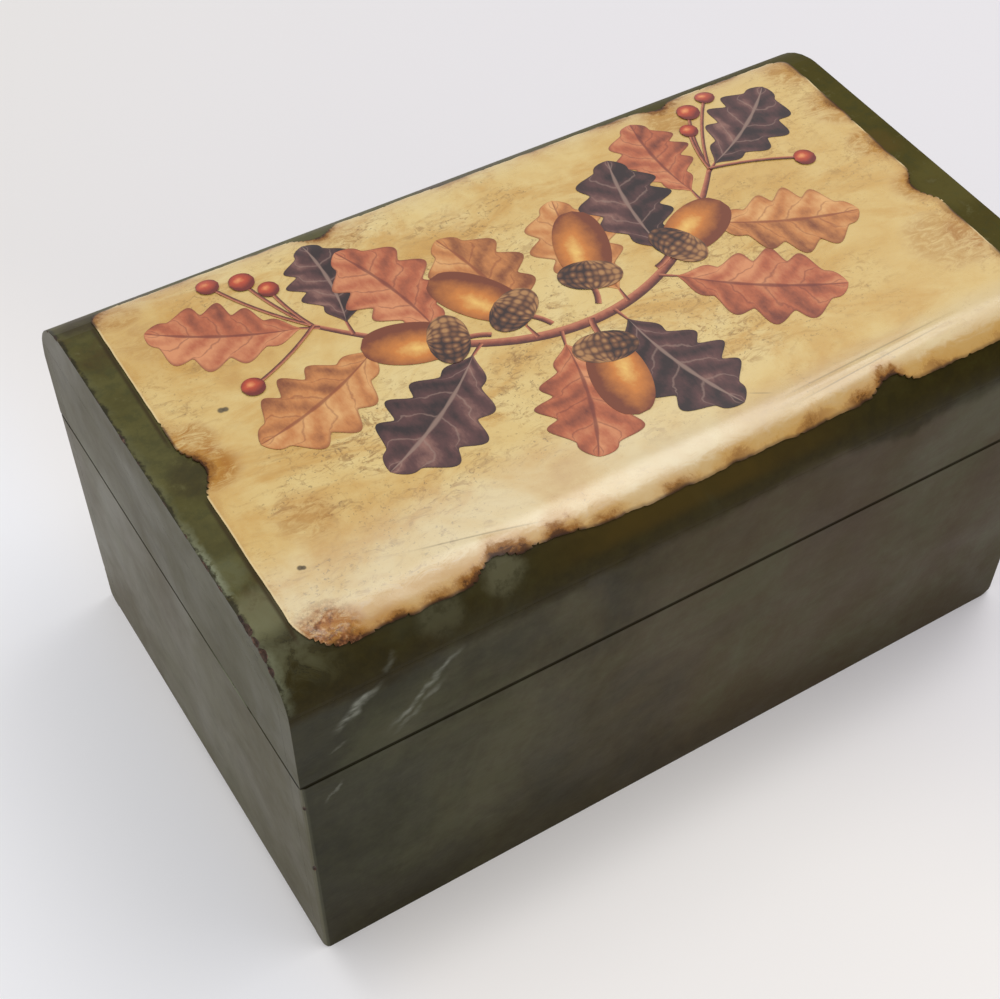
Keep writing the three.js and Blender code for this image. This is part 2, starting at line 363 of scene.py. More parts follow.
class Finish:
    """A material made of nodes. Its methods add nodes and give the output of the last."""

    def __init__(self, name, roughness=0.5, metallic=0.0, coat=0.0, coat_roughness=0.1):
        self.material = bpy.data.materials.new(name)
        self.material.use_nodes = True
        self.tree = self.material.node_tree
        self.shader = self.tree.nodes["Principled BSDF"]
        self.colour = None
        self.set("Roughness", roughness)
        self.set("Metallic", metallic)
        self.set("Coat Weight", coat)
        self.set("Coat Roughness", coat_roughness)

    def set(self, socket, value):
        self.plug(self.shader.inputs[socket], value)

    def plug(self, socket, value):
        if isinstance(value, bpy.types.NodeSocket):
            self.tree.links.new(value, socket)
        elif socket.type == "RGBA":
            socket.default_value = (*linear(value), 1)
        else:
            socket.default_value = value

    def add(self, kind, sockets=(), **settings):
        node = self.tree.nodes.new(kind)
        for name, value in settings.items():
            setattr(node, name, value)
        for name, value in dict(sockets).items():
            self.plug(node.inputs[name], value)
        return node

    def coordinates(self, kind):
        return self.add("ShaderNodeTexCoord").outputs[kind]

    def place(self):
        return self.coordinates("Object")

    def across_sheet(self):
        """Coordinates that follow a cut-out: from its base to its tip, and from side to side."""
        return self.split(self.coordinates("UV"))[:2]

    def attribute(self, name):
        return self.add("ShaderNodeAttribute", attribute_name=name).outputs["Fac"]

    def stretched(self, vector, scale, turn=(0, 0, 0)):
        sockets = {"Vector": vector, "Rotation": turn, "Scale": scale}
        return self.add("ShaderNodeMapping", sockets, vector_type="POINT").outputs[0]

    def split(self, vector):
        return self.add("ShaderNodeSeparateXYZ", {"Vector": vector}).outputs

    def noise(self, vector, size, detail=4, roughness=0.5, distortion=0):
        sockets = {"Vector": vector, "Scale": 1 / size, "Detail": detail}
        sockets.update({"Roughness": roughness, "Distortion": distortion})
        return self.add("ShaderNodeTexNoise", sockets).outputs

    def cloud(self, vector, size, *texture):
        """Mottling in patches about size metres across, with so much detail, roughness and distortion."""
        return self.noise(vector, size, *texture)["Fac"]

    def cells(self, vector, size, feature="F1", randomness=1):
        sockets = {"Vector": vector, "Scale": 1 / size, "Randomness": randomness}
        return self.add("ShaderNodeTexVoronoi", sockets, feature=feature).outputs["Distance"]

    def numbered(self, kind, operation, values, **settings):
        node = self.add(kind, operation=operation, **settings)
        for socket, value in zip(node.inputs, values):
            self.plug(socket, value)
        return node.outputs

    def sum(self, operation, *values, clamp=False):
        return self.numbered("ShaderNodeMath", operation, values, use_clamp=clamp)[0]

    def vector_sum(self, operation, *values):
        return self.numbered("ShaderNodeVectorMath", operation, values)

    def both(self, *masks):
        total = masks[0]
        for mask in masks[1:]:
            total = self.sum("MULTIPLY", total, mask)
        return total

    def drift(self, value, pattern, amount):
        """A value moved to and fro by a random pattern."""
        return self.sum("MULTIPLY_ADD", self.sum("SUBTRACT", pattern, 0.5), amount, value)

    def fade(self, value, low, high, at_low=0.0, at_high=1.0):
        """Eases from at_low to at_high while value goes from low to high, which may be the lesser."""
        sockets = {"Value": value, "From Min": low, "From Max": high, "To Min": at_low, "To Max": at_high}
        return self.add("ShaderNodeMapRange", sockets, interpolation_type="SMOOTHSTEP").outputs[0]

    def band(self, value, middle, half, core=0):
        """One within core of a middle value, fading to nothing half a band away."""
        return self.fade(self.sum("ABSOLUTE", self.sum("SUBTRACT", value, middle)), half, core)

    def spot(self, place, centre, reach, pattern=None):
        """A round patch about a point in millimetres, with a ragged outline if given a pattern."""
        distance = self.vector_sum("DISTANCE", place, Vector(centre) * MM)["Value"]
        if pattern is not None:
            distance = self.drift(distance, pattern, reach * MM)
        return self.fade(distance, reach * MM, reach * 0.45 * MM)

    def stroke(self, place, start, end, half, facing=(0, 0, 1), wander=None, ends=0.33):
        """A soft-ended line on a flat face, between two points in millimetres."""
        start, end = Vector(start).to_3d() * MM, Vector(end).to_3d() * MM
        way = (end - start).normalized()
        along, across = (
            self.sum("SUBTRACT", self.vector_sum("DOT_PRODUCT", place, axis)["Value"], start.dot(axis))
            for axis in (way, Vector(facing).cross(way))
        )
        if wander is not None:
            across = self.sum("ADD", across, wander)
        run = (end - start).length
        return self.both(
            self.fade(self.sum("ABSOLUTE", across), half * MM, 0),
            self.fade(along, 0, run * ends),
            self.fade(along, run, run * (1 - ends)),
        )

    def blend(self, mask, below, above):
        node = self.add("ShaderNodeMix", {0: mask}, data_type="RGBA")
        self.plug(node.inputs[6], below)
        self.plug(node.inputs[7], above)
        return node.outputs[2]

    def tint(self, colour, *masks):
        """Lays a colour over the finish where all the masks say so."""
        self.colour = self.blend(self.both(*masks), self.colour, colour)

    def shades(self, value, *stops):
        """Colours along a value, each stop being (position, colour)."""
        node = self.add("ShaderNodeValToRGB", {0: value})
        ramp = node.color_ramp
        while len(ramp.elements) < len(stops):
            ramp.elements.new(0.5)
        for element, (position, colour) in zip(ramp.elements, stops):
            element.position = position
            element.color = (*linear(colour), 1)
        return node.outputs[0]

    def bump(self, height, depth, strength):
        sockets = {"Height": height, "Distance": depth, "Strength": strength}
        return self.add("ShaderNodeBump", sockets).outputs[0]

    def done(self, roughness=None, normal=None):
        self.set("Base Color", self.colour)
        if roughness is not None:
            self.set("Roughness", roughness)
        if normal is not None:
            self.set("Normal", normal)
        return self.material


def olive_paint():
    """Brushed olive paint: green on top; nearly black over the front rounding, from dark wax with painted
    dark reflection; the left end paler and greyer, with painted light.
    """
    f = Finish("olive_paint")
    place = f.place()
    x, y, z = f.split(place)
    nx, ny, nz = f.split(f.coordinates("Normal"))
    clouds = f.cloud(place, 0.022, 7, 0.6, 0.4)
    strokes = f.cloud(f.stretched(place, (0.2, 0.6, 1)), 0.0045, 5, 0.6)
    patches = f.cloud(place, 0.040, 8, 0.62, 0.5)
    grain = f.cloud(place, 0.0035, 4, 0.7)
    mottled = f.drift(patches, grain, 0.4)

    # Coats of the top, the front and the ends; on the left end, painted light over a paler coat
    top = f.shades(clouds, (0.32, OLIVE_BROWN), (0.47, OLIVE), (0.7, OLIVE_LIGHT))
    top = f.blend(f.fade(x, -0.02, 0.09, 0, 0.85), top, (72, 64, 22))
    top = f.blend(f.fade(grain, 0.46, 0.66, 0, 0.45), top, (58, 60, 32))
    top = f.blend(f.fade(grain, 0.42, 0.26, 0, 0.35), top, (112, 108, 74))
    brown = f.shades(mottled, (0.34, (66, 50, 27)), (0.5, (70, 58, 33)), (0.66, (74, 69, 43)))
    green = f.shades(mottled, (0.34, (36, 34, 14)), (0.5, (47, 45, 22)), (0.66, (57, 58, 33)))
    front = f.blend(f.fade(f.drift(x, patches, 0.22), -0.085, 0.02), green, brown)
    front = f.blend(f.fade(f.drift(z, patches, 0.03), 0, 0.034, 0.45, 0), front, (46, 36, 15))
    # Painted light and floor reflection on the left end, dimmer towards the front and on the lid's end
    end_painted_lit = f.shades(mottled, (0.34, (99, 90, 69)), (0.66, (113, 109, 89)))
    end_painted_dim = f.shades(mottled, (0.34, (79, 74, 47)), (0.66, (94, 90, 66)))
    lid_end = f.fade(z, SEAM - 0.001, SEAM + 0.001, 0, 0.4)
    end_painted_dim_mask = f.sum("ADD", f.fade(y, 0.055, -0.055, 0, 0.6), lid_end, clamp=True)
    upright = f.blend(f.fade(nx, -0.3, -0.75), front, f.blend(end_painted_dim_mask, end_painted_lit, end_painted_dim))
    high = f.drift(z, mottled, 0.012)
    on_top = f.both(f.fade(nz, 0.04, 0.2), f.fade(high, LID_SHOULDER, LID_SHOULDER + 0.013))
    f.colour = f.blend(on_top, upright, top)
    f.tint(DARK_OLIVE_GREEN, f.fade(strokes, 0.45, 0.75, 0, 0.22))

    # Dark wax over the front rounding, which also carries painted dark reflection
    shoulder = f.fade(f.drift(y, clouds, 0.010), -0.0465, -0.0500)
    raised = f.both(f.fade(x, -0.035, -0.022), f.fade(x, 0.037, 0.030, 0, 0.0027))
    depth = f.sum("SUBTRACT", f.drift(z, clouds, 0.010), raised)
    # The dark band: wax and painted dark reflection together
    waxed_and_painted_dark = f.both(shoulder, f.fade(depth, 0.0870, 0.0915), f.fade(nx, -0.9, -0.5))
    tone = f.shades(grain, (0.35, WAX_AND_DARK_REFLECTION), (0.6, (49, 41, 12)), (0.75, DARK_OLIVE_GREEN))
    browned = f.both(
        f.fade(x, -0.050, -0.025),
        f.fade(x, 0.040, 0.022),
        f.fade(z, 0.0950, 0.0982, 0.1, 1),
        f.fade(clouds, 0.36, 0.62, 0.5, 1),
    )
    f.tint(f.blend(browned, tone, (66, 50, 10)), waxed_and_painted_dark, 0.92)
    f.tint((68, 68, 46), f.fade(patches, 0.52, 0.66), waxed_and_painted_dark, 0.3)

    # Crazed front left corner, patches and the print's edge
    cloudy = f.cloud(f.stretched(place, (1, 0.6, 1), (0, 0, 0.5)), 0.007, 7, 0.65, 0.6)
    at_corner = f.both(
        f.fade(x, -0.083, -0.096),
        f.fade(y, -0.036, -0.046),
        f.fade(z, 0.095, 0.099),
    )
    f.tint((92, 91, 66), at_corner, f.fade(cloudy, 0.36, 0.64), 0.72)
    f.tint((30, 26, 14), f.band(cloudy, 0.47, 0.014), at_corner, 0.65)
    for *centre, reach, strength, colour in PAINT_PATCHES:
        patch = f.spot(place, centre, reach, cloudy)
        f.tint(colour, patch, strength, f.fade(grain, 0.3, 0.5, 0.4, 1), on_top)
    for start, end in WAX_LINES:
        f.tint((52, 38, 16), f.stroke(place, start, end, 0.8, ends=0.1), on_top, 0.75)

    # Painted shade along the seam's gap, and gloss
    # Painted shade: the seam's gap darkened as if in shadow
    seam_shade = f.both(f.band(z, SEAM, 0.0009, 0.0003), f.fade(f.sum("ABSOLUTE", nz), 0.99, 0.97))
    f.tint((26, 22, 11), seam_shade, 0.85)
    dull = f.both(
        f.fade(f.both(on_top, f.fade(x, 0, 0.08)), 0, 1, 1, 0.3),
        f.fade(waxed_and_painted_dark, 0, 1, 1, 0.55),
        f.fade(z, 0, 0.035, 0.55, 1),
    )
    f.set("Specular IOR Level", f.both(f.fade(seam_shade, 0, 1, PAINT_GLOSS, SEAM_GLOSS), dull))

    # Rubbed arrises, and a painted highlight down the front left upright arris
    chipped = f.cloud(place, 0.003, 6, 0.7)
    ragged = f.drift(x, chipped, 0.0035)
    on_lid = f.fade(z, 0.090, 0.093)
    f.tint(
        RUBBED,
        f.fade(ragged, -0.0975, -0.0995),
        f.fade(nz, 0.03, 0.2),
        on_lid,
        f.fade(clouds, 0.42, 0.6),
        f.fade(y, 0, -0.02, 0.12, 0.5),
    )
    worn = f.both(f.fade(ragged, -0.0978, -0.0992), f.fade(nz, 0, 0.1), f.band(y, -0.030, 0.014))
    f.tint(RUBBED, worn, f.fade(chipped, 0.40, 0.48))
    end_arris = f.both(f.fade(ragged, -0.0990, -0.0998), f.fade(nz, 0.03, 0.2), on_lid)
    f.tint((38, 34, 19), end_arris, f.fade(grain, 0.36, 0.5), 0.85)
    # Painted highlight over light wear down the front left upright arris
    f.tint((104, 103, 84), f.fade(nx, -0.12, -0.35), f.fade(ny, -0.12, -0.35), 0.35)

    # Scuffs on the front
    wander = f.sum("MULTIPLY_ADD", f.cloud(place, 0.006, 5), 0.006, -0.003)
    on_front = f.fade(ny, -0.3, -0.8)
    patchy = f.fade(f.cloud(f.stretched(place, (0.4, 1, 1), (0, 0.8, 0)), 0.0016, 5), 0.2, 0.75)
    for start, end, half, strength in FRONT_SCUFFS:
        scuff = f.stroke(place, start, end, half, (0, -1, 0), wander)
        f.tint(CHALK, scuff, patchy, on_front, strength)
    height = f.sum("MULTIPLY_ADD", strokes, 0.7, f.both(f.cloud(place, 0.0012, 3), 0.3))
    return f.done(f.fade(clouds, 0.3, 0.7, 0.4, 0.55), f.bump(height, 0.25 * MM, 0.35))


def chipped_undercoat():
    """Where the paint has chipped off: dark reddish wood."""
    f = Finish("chipped_undercoat", 0.7)
    bare = f.cloud(f.place(), 0.0012, 5, 0.7)
    f.colour = f.shades(bare, (0.35, (36, 28, 16)), (0.55, (78, 54, 40)), (0.75, (140, 106, 86)))
    return f.done(normal=f.bump(bare, 0.2 * MM, 0.5))


def bare_wood(name, along=0, tone=(198, 160, 112)):
    """Sealed light wood whose grain runs along an axis."""
    f = Finish(name)
    tone = np.array(tone)
    along_grain = f.stretched(f.place(), [0.06 if axis == along else 1 for axis in range(3)])
    rings = f.cloud(along_grain, 0.006, 3, 0.5, 0.6)
    fibres = f.cloud(along_grain, 0.0009, 4, 0.7)
    f.colour = f.shades(rings, (0.35, tone), (0.5, 0.82 * tone), (0.56, tone), (0.7, 0.92 * tone))
    f.tint(0.62 * tone, f.fade(fibres, 0.5, 0.8, 0, 0.4))
    return f.done(f.fade(fibres, 0.3, 0.7, 0.48, 0.62), f.bump(fibres, 0.1 * MM, 0.4))


def aged_brass():
    f = Finish("aged_brass", metallic=1)
    tarnish = f.cloud(f.place(), 0.004, 6, 0.65)
    f.colour = f.shades(
        tarnish,
        (0.35, (203.4, 171.5, 111.3)),
        (0.55, (173.4, 141.9, 89.0)),
        (0.75, (111.3, 89.0, 63.2)),
    )
    scratches = f.cloud(f.stretched(f.place(), (0.1, 1, 1)), 0.0004, 3)
    return f.done(f.fade(tarnish, 0.3, 0.7, 0.24, 0.5), f.bump(scratches, 0.03 * MM, 0.5))


def aged_parchment():
    """The varnished print: mottled ochre paper with scorched, torn edges."""
    f = Finish("aged_parchment", coat=VARNISH, coat_roughness=VARNISH_ROUGHNESS)
    place = f.place()
    inside = f.attribute("from_edge")
    burnt = f.attribute("burnt")
    x, y, _ = f.split(place)

    # The mottled sheet
    clouds = f.cloud(place, 0.030, 9, 0.62, 0.4)
    f.colour = f.shades(
        clouds,
        (0.30, (192, 144, 70)),
        (0.42, (211, 173, 98)),
        (0.55, (222, 194, 126)),
        (0.72, (227, 205, 146)),
    )
    ochre = f.cloud(f.stretched(place, (0.55, 1, 1), (0, 0, 0.2)), 0.020, 7, 0.68, 0.8)
    f.tint((200, 152, 70), f.fade(ochre, 0.48, 0.66, 0, 0.85))
    fibres = f.cloud(f.stretched(place, (0.45, 1, 1), (0, 0, 0.35)), 0.0024, 6, 0.75, 1.4)
    stains = f.cloud(f.stretched(place, (0.6, 1, 1)), 0.019, 5, 0.6)
    f.tint((158, 116, 54), f.fade(fibres, 0.50, 0.63), f.fade(stains, 0.42, 0.66, 0.1, 0.85))
    curled = f.vector_sum("MULTIPLY_ADD", f.noise(place, 0.004, 3)["Color"], (0.006,) * 3, place)[0]
    hairs = f.fade(f.cells(curled, 0.0038, "DISTANCE_TO_EDGE"), 0.07, 0.01)
    broken = f.fade(f.cloud(place, 0.0026, 2), 0.48, 0.58)
    fainter = f.fade(y, -0.038, -0.026, 0.12, 0.42)
    f.tint((132, 90, 34), hairs, f.fade(stains, 0.48, 0.6), broken, fainter)
    specks = f.cloud(place, 0.0008, 2, 0.6)
    f.tint((112, 84, 46), f.fade(specks, 0.62, 0.70), f.fade(stains, 0.42, 0.58), 0.6)

    # Warmer and paler sides
    f.tint((210, 170, 92), f.fade(x, -0.01, 0.08, 0, 0.4))
    f.tint((196, 146, 52), f.fade(x, -0.070, -0.085), f.fade(y, 0.014, 0.026), 0.5)
    # Paler over the front left of the sheet and greyer along its front right
    paler_share = f.fade(clouds, 0.35, 0.6, 0.28, 0.52)
    f.tint((230, 217, 188), f.fade(y, -0.028, -0.044), paler_share, f.fade(x, 0.03, -0.03))
    f.tint((200, 188, 160), f.fade(y, -0.042, -0.049), f.fade(x, -0.03, 0, 0, 0.35))
    to_front = f.sum("ADD", f.drift(y, fibres, 0.006), f.fade(x, -0.050, -0.028, 0, 0.0022))
    tanned = f.both(
        f.fade(to_front, -0.0488, -0.0520),
        f.fade(ochre, 0.3, 0.6, 0.55, 0.9),
        f.fade(x, -0.028, -0.05, 0.8, 1),
    )
    f.tint((184, 140, 64), tanned)
    matt = f.both(tanned, f.fade(x, -0.03, -0.05, 0.75, 0.4))
    for *centre, reach, strength in PAPER_STAINS:
        spot = f.spot(place, centre, reach, ochre)
        stain = f.both(spot, f.fade(fibres, 0.34, 0.58, 0.15, 1), strength)
        f.tint((158, 96, 36), stain)
        matt = f.sum("MAXIMUM", matt, stain)

    # The scorched edge
    wander = f.cloud(place, 0.0075, 9, 0.78, 0.3)
    fringe = f.drift(inside, wander, 11)

    def scorched(widening, width, core):
        """One at the torn edge, over a width in millimetres that grows where the edge is burnt."""
        reach = f.sum("MULTIPLY_ADD", burnt, widening, width)
        return f.fade(f.sum("DIVIDE", fringe, reach), 1, core)

    f.tint((184, 134, 56), scorched(6.5, 1.6, 0.1), f.sum("MULTIPLY_ADD", burnt, 0.55, 0.25))
    toast = f.both(scorched(3.2, 0.3, 0.3), f.sum("MULTIPLY_ADD", burnt, 0.8, 0.05))
    f.tint((126, 76, 28), toast)
    burn = f.both(scorched(1.7, -0.4, 0.3), f.fade(burnt, 0.45, 0.95, 0, 0.85))
    f.tint((66, 36, 12), burn)
    matt = f.sum("MAXIMUM", matt, f.sum("MAXIMUM", toast, burn))
    f.set("Coat Weight", f.fade(matt, 0.1, 0.7, VARNISH, 0.05))
    f.set("Specular IOR Level", f.fade(matt, 0.1, 0.7, 0.5, 0.15))
    at_front = f.fade(y, -0.050, -0.054)
    torn = f.both(f.fade(inside, 0.5, 0.1), f.fade(burnt, 0.1, 0.4, 0.55, 0))
    f.tint((236, 216, 166), torn, f.fade(at_front, 1, 0))
    browned = f.sum("MAXIMUM", f.fade(burnt, 0.1, 0.5, 0, 0.85), f.both(at_front, 0.55))
    f.tint((48, 26, 12), f.fade(inside, 0.7, 0.05), browned)

    # The scuffed corner, painted shade along the creases, and specks
    flaked = f.fade(f.cloud(place, 0.0024, 7, 0.78), 0.44, 0.54)
    flecks = f.cloud(place, 0.0010)
    speckle = f.shades(flecks, (0.38, (78, 44, 30)), (0.54, (150, 94, 54)), (0.70, (206, 164, 118)))
    f.tint(speckle, f.attribute("scuffed"), flaked, 0.75)
    # Painted shade in the creases' folds, and other fine lines on the print
    for start, end, half in CREASE_LINES:
        f.tint((122, 104, 74), f.stroke(place, start, end, half), 0.5)
    for *centre, reach in DARK_SPOTS:
        f.tint((74, 58, 26), f.spot(place, centre, reach), 0.9)
    normal = f.bump(f.sum("ADD", fibres, wander), 0.08 * MM, 0.35)
    return f.done(f.fade(wander, 0.3, 0.7, 0.24, 0.34), normal)


def varnished_ink(name):
    f = Finish(name, 0.3, coat=VARNISH, coat_roughness=VARNISH_ROUGHNESS)
    f.set("Specular IOR Level", INK_GLOSS)
    return f


def printed_leaf(name, dark, middle, light, vein):
    """Ink of a leaf: lit ridges between its veins, one half in shade, under the same varnish as the paper."""
    f = varnished_ink(name)
    place = f.place()
    along, across = f.across_sheet()
    half = f.sum("ABSOLUTE", f.sum("MULTIPLY_ADD", across, 2, -1))
    slanted = f.sum("MULTIPLY_ADD", half, -0.9, f.sum("MULTIPLY", along, LEAF_VEINS))
    phase = f.drift(slanted, f.cloud(place, 0.004, 3), 0.5)
    wave = f.sum("COSINE", f.sum("MULTIPLY", phase, 2 * math.pi))
    shade = f.sum("MULTIPLY_ADD", wave, -0.10, f.fade(across, 0.46, 0.54, 0.40, 0.56))
    shade = f.drift(shade, f.cloud(place, 0.010, 5, 0.6), 0.9)
    shade = f.drift(shade, f.cloud(f.stretched(place, (1, 0.4, 1), (0, 0, 0.8)), 0.0012, 5, 0.7), 0.36)
    shade = f.drift(shade, f.attribute("tone"), 0.4)
    f.colour = f.shades(shade, (0.2, dark), (0.5, middle), (0.8, light))
    side_veins = f.band(f.sum("FRACT", phase), 0.5, f.fade(half, 0, 1, 0.075, 0.02))
    midrib = f.fade(half, 0.07, 0.02)
    f.tint(vein, f.sum("MAXIMUM", f.both(side_veins, 0.65), midrib), 0.7)
    f.tint(dark, f.fade(half, 0.88, 1, 0, 0.55))
    return f.done()


def printed_round(name, dark, middle, light, streaks):
    """Ink of a nut or a berry: a lit shoulder and a shaded far side."""
    f = varnished_ink(name)
    along, across = f.across_sheet()
    away_along = f.sum("SUBTRACT", along, 0.42)
    away_across = f.sum("MULTIPLY", f.sum("SUBTRACT", across, 0.64), 1.25)
    distance = f.sum("SQRT", f.sum("ADD", f.sum("POWER", away_along, 2), f.sum("POWER", away_across, 2)))
    shade = f.drift(distance, f.cloud(f.place(), streaks, 5, 0.7), 0.35)
    f.colour = f.shades(shade, (0.02, light), (0.24, middle), (0.62, dark))
    return f.done()


def printed_scales():
    """Ink of an acorn's cup: rows of small overlapping scales."""
    f = varnished_ink("printed_scales")
    along, across = f.across_sheet()
    sockets = {"X": f.sum("MULTIPLY", along, 5), "Y": f.sum("MULTIPLY", across, 9)}
    scales = f.cells(f.add("ShaderNodeCombineXYZ", sockets).outputs[0], 1, randomness=0.45)
    shade = f.sum("ADD", scales, f.fade(across, 0.1, 0.9, 0.15, -0.15))
    f.colour = f.shades(shade, (0.15, (176, 128, 80)), (0.45, (112, 72, 46)), (0.75, (52, 32, 28)))
    return f.done()


def printed_twig():
    f = varnished_ink("printed_twig")
    _, across = f.across_sheet()
    bark = f.cloud(f.place(), 0.0016, 4, 0.7)
    shade = f.sum("MULTIPLY_ADD", bark, 0.6, f.sum("SUBTRACT", across, 0.3))
    f.colour = f.shades(shade, (0.15, (84, 42, 34)), (0.5, (142, 74, 56)), (0.85, (190, 118, 86)))
    return f.done()


# The case

OPEN = 0.03 * MM  # how near a face lies to the plane it belongs to
CORNER_EASE = 1.1 * MM
ARRIS_EASE = 0.5 * MM
BRASS_EASE = 0.06 * MM
WEAR_ANGLES = (18, 36, 54, 72)


def is_inner_face(centre, normal):
    """A face of the well or of the lid's recess."""
    inward_x = normal.x * centre.x < 0 and abs(abs(centre.x) - WELL_HALF_LENGTH) < OPEN
    inward_y = normal.y * centre.y < 0 and abs(abs(centre.y) - WELL_HALF_WIDTH) < OPEN
    return (abs(normal.x) > 0.9 and inward_x) or (abs(normal.y) > 0.9 and inward_y)


def is_outer_face(centre, normal):
    """A face that the paint covers: a side, a rim, the underside or the rounded top."""
    if abs(normal.x) > 0.9:
        return abs(centre.x) > HALF_LENGTH - OPEN
    if abs(normal.y) > 0.99:
        return abs(centre.y) > HALF_WIDTH - OPEN
    if abs(normal.z) > 0.99:
        levels = (0, BASE_RIM, LID_RIM, LID_TOP)
        return any(abs(centre.z - level) < OPEN for level in levels)
    inset = 2 * CORNER_EASE
    at_corner = abs(centre.x) > HALF_LENGTH - inset and abs(centre.y) > HALF_WIDTH - inset
    return centre.z > BACK_CENTRE.z or (at_corner and abs(normal.z) < 0.1)


def ease_arrises(piece, width, upright_only=False):
    """Rounds every arris between two open faces and leaves the glued joints sharp."""
    mesh = piece.data
    is_open = {}
    for face in mesh.polygons:
        seen = is_outer_face(face.center, face.normal) or is_inner_face(face.center, face.normal)
        for key in face.edge_keys:
            is_open.setdefault(key, []).append((seen, face.normal.copy()))
    arrises = []
    for edge in mesh.edges:
        sides = is_open.get(edge.key, [])
        is_arris = len(sides) == 2 and all(seen for seen, _ in sides)
        if upright_only:
            first, second = (mesh.vertices[index].co for index in edge.vertices)
            outer = abs(first.x) > HALF_LENGTH - OPEN and abs(first.y) > HALF_WIDTH - OPEN
            is_arris = is_arris and outer and abs(first.z - second.z) > 10 * MM
        arrises.append(is_arris and sides[0][1].angle(sides[1][1]) > math.radians(40))
    with editing(piece, "edges", arrises):
        bpy.ops.mesh.bevel(offset=width, segments=3, profile=0.5, clamp_overlap=True)
    close_up(piece)


def chip_cutter(place, half_sizes, finishes):
    """A rough lump that takes a chip out of an arris."""
    deselect_all()
    bpy.ops.mesh.primitive_ico_sphere_add(subdivisions=3, radius=1)
    lump = bpy.context.object
    points = points_of(lump)
    seed = Vector(place)
    rough = [1 + 0.3 * noise.noise(Vector(point) * 1.7 + seed) for point in points]
    points = points * np.array(rough)[:, None] * half_sizes + place
    put_points(lump, points * MM)
    dress(lump, *finishes)
    for face in lump.data.polygons:
        face.material_index = len(finishes) - 1
    return lump


def wear_corners(piece, node):
    """Rounds the corners of the base by planes that lean over from its end to its underside."""
    low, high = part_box(node)
    for corner, radius, lean in WORN_CORNERS:
        corner = Vector(corner)
        if any(not low[i] / MM - 0.1 < corner[i] < high[i] / MM + 0.1 for i in range(3)):
            continue
        for degrees in WEAR_ANGLES:
            angle = math.radians(degrees)
            across, down = math.cos(angle), math.sin(angle)
            outward = Vector((math.copysign(across, corner.x), math.copysign(lean, corner.y), -down))
            outward.normalize()
            plane = (corner - outward * (radius * (across + down - 1))) * MM
            with editing(piece):
                bpy.ops.mesh.bisect(plane_co=plane, plane_no=outward, use_fill=False, clear_outer=True)
            close_up(piece)


def cut_chips(piece, node, finishes):
    low, high = (np.array(corner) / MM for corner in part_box(node))
    chips = [((x, y, z), half_sizes) for x, y, z, *half_sizes in CORNER_CHIPS]
    if node == "lid_top_board":
        for y, *half_sizes in ARRIS_CHIPS:
            z = lid_height(np.array(y * MM), 0) / MM
            chips.append(((-100.1, y, float(z) + 0.1), half_sizes))
    for place, half_sizes in chips:
        if np.any(low - half_sizes >= place) or np.any(place >= high + half_sizes):
            continue
        lump = chip_cutter(place, half_sizes, finishes)
        apply_modifier(piece, "BOOLEAN", operation="DIFFERENCE", object=lump, solver="EXACT")
        bpy.data.objects.remove(lump)
        close_up(piece)


def painted_board(node, name, body, finishes):
    """A board of the frame with eased arrises and chips; its finishes are paint, wood and undercoat."""
    piece = whole_copy(node, name)
    if node.startswith("base"):
        ease_arrises(piece, CORNER_EASE, upright_only=True)
    ease_arrises(piece, ARRIS_EASE)
    dress(piece, *finishes)
    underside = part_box(node)[0].z if node == "lid_top_board" else None
    for face in piece.data.polygons:
        is_bare = is_inner_face(face.center, face.normal)
        if underside is not None and face.center.z < underside + OPEN:
            is_bare = True
        face.material_index = 1 if is_bare else 0
    if node.startswith("base"):
        wear_corners(piece, node)
    cut_chips(piece, node, finishes)
    flat_and_round(piece)
    rides(piece, body, "paint", node)


def make_case():
    paint = olive_paint()
    long_grain = bare_wood("bare_wood_long")
    end_grain = bare_wood("bare_wood_short", along=1)
    undercoat = chipped_undercoat()
    for place in ("front", "back", "left", "right"):
        wood = long_grain if place in ("front", "back") else end_grain
        finishes = (paint, wood, undercoat)
        painted_board(f"base_{place}_board", f"{place}_board_painted", "base", finishes)
        painted_board(f"lid_{place}_rail", f"{place}_rail_painted", "lid", finishes)
    painted_board("lid_top_board", "top_board_painted", "lid", (paint, long_grain, undercoat))
    dress(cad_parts["base_bottom_panel"], bare_wood("bottom_plywood", tone=(186, 148, 100)))


def make_hinges():
    brass = aged_brass()
    for node in sorted(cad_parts):
        if "hinge" not in node:
            continue
        piece = whole_copy(node, f"{node}_brass")
        apply_modifier(piece, "BEVEL", width=BRASS_EASE, segments=2, angle_limit=math.radians(40))
        close_up(piece, 0.0015 * MM)
        dress(piece, brass)
        flat_and_round(piece)
        rides(piece, "lid" if "lid" in node else "base", "brass", node)


# The print


def tear_depth(edge, along):
    """How far a torn edge falls back, in millimetres, at places along it."""
    depth = np.zeros_like(along)
    for middle, half, deep in TEARS[edge]:
        offset = np.abs(along - middle) / half
        depth += np.where(offset < 1, deep * (1 + np.cos(np.pi * np.minimum(offset, 1))) / 2, 0)
    seed = 10 * len(edge)
    for share, length, lane in ((1.4, 9, 0), (0.84, 3.1, 7), (0.49, 1.1, 3)):
        depth += RAGGED[edge] * share * np.array([noise.noise((s / length, seed, lane)) for s in along])
    return depth + RAGGED[edge]


def line_between(first, second, along, axis):
    (x0, y0), (x1, y1) = PRINT_CORNERS[first], PRINT_CORNERS[second]
    if axis == "x":
        return y0 + (y1 - y0) * (along - x0) / (x1 - x0)
    return x0 + (x1 - x0) * (along - y0) / (y1 - y0)


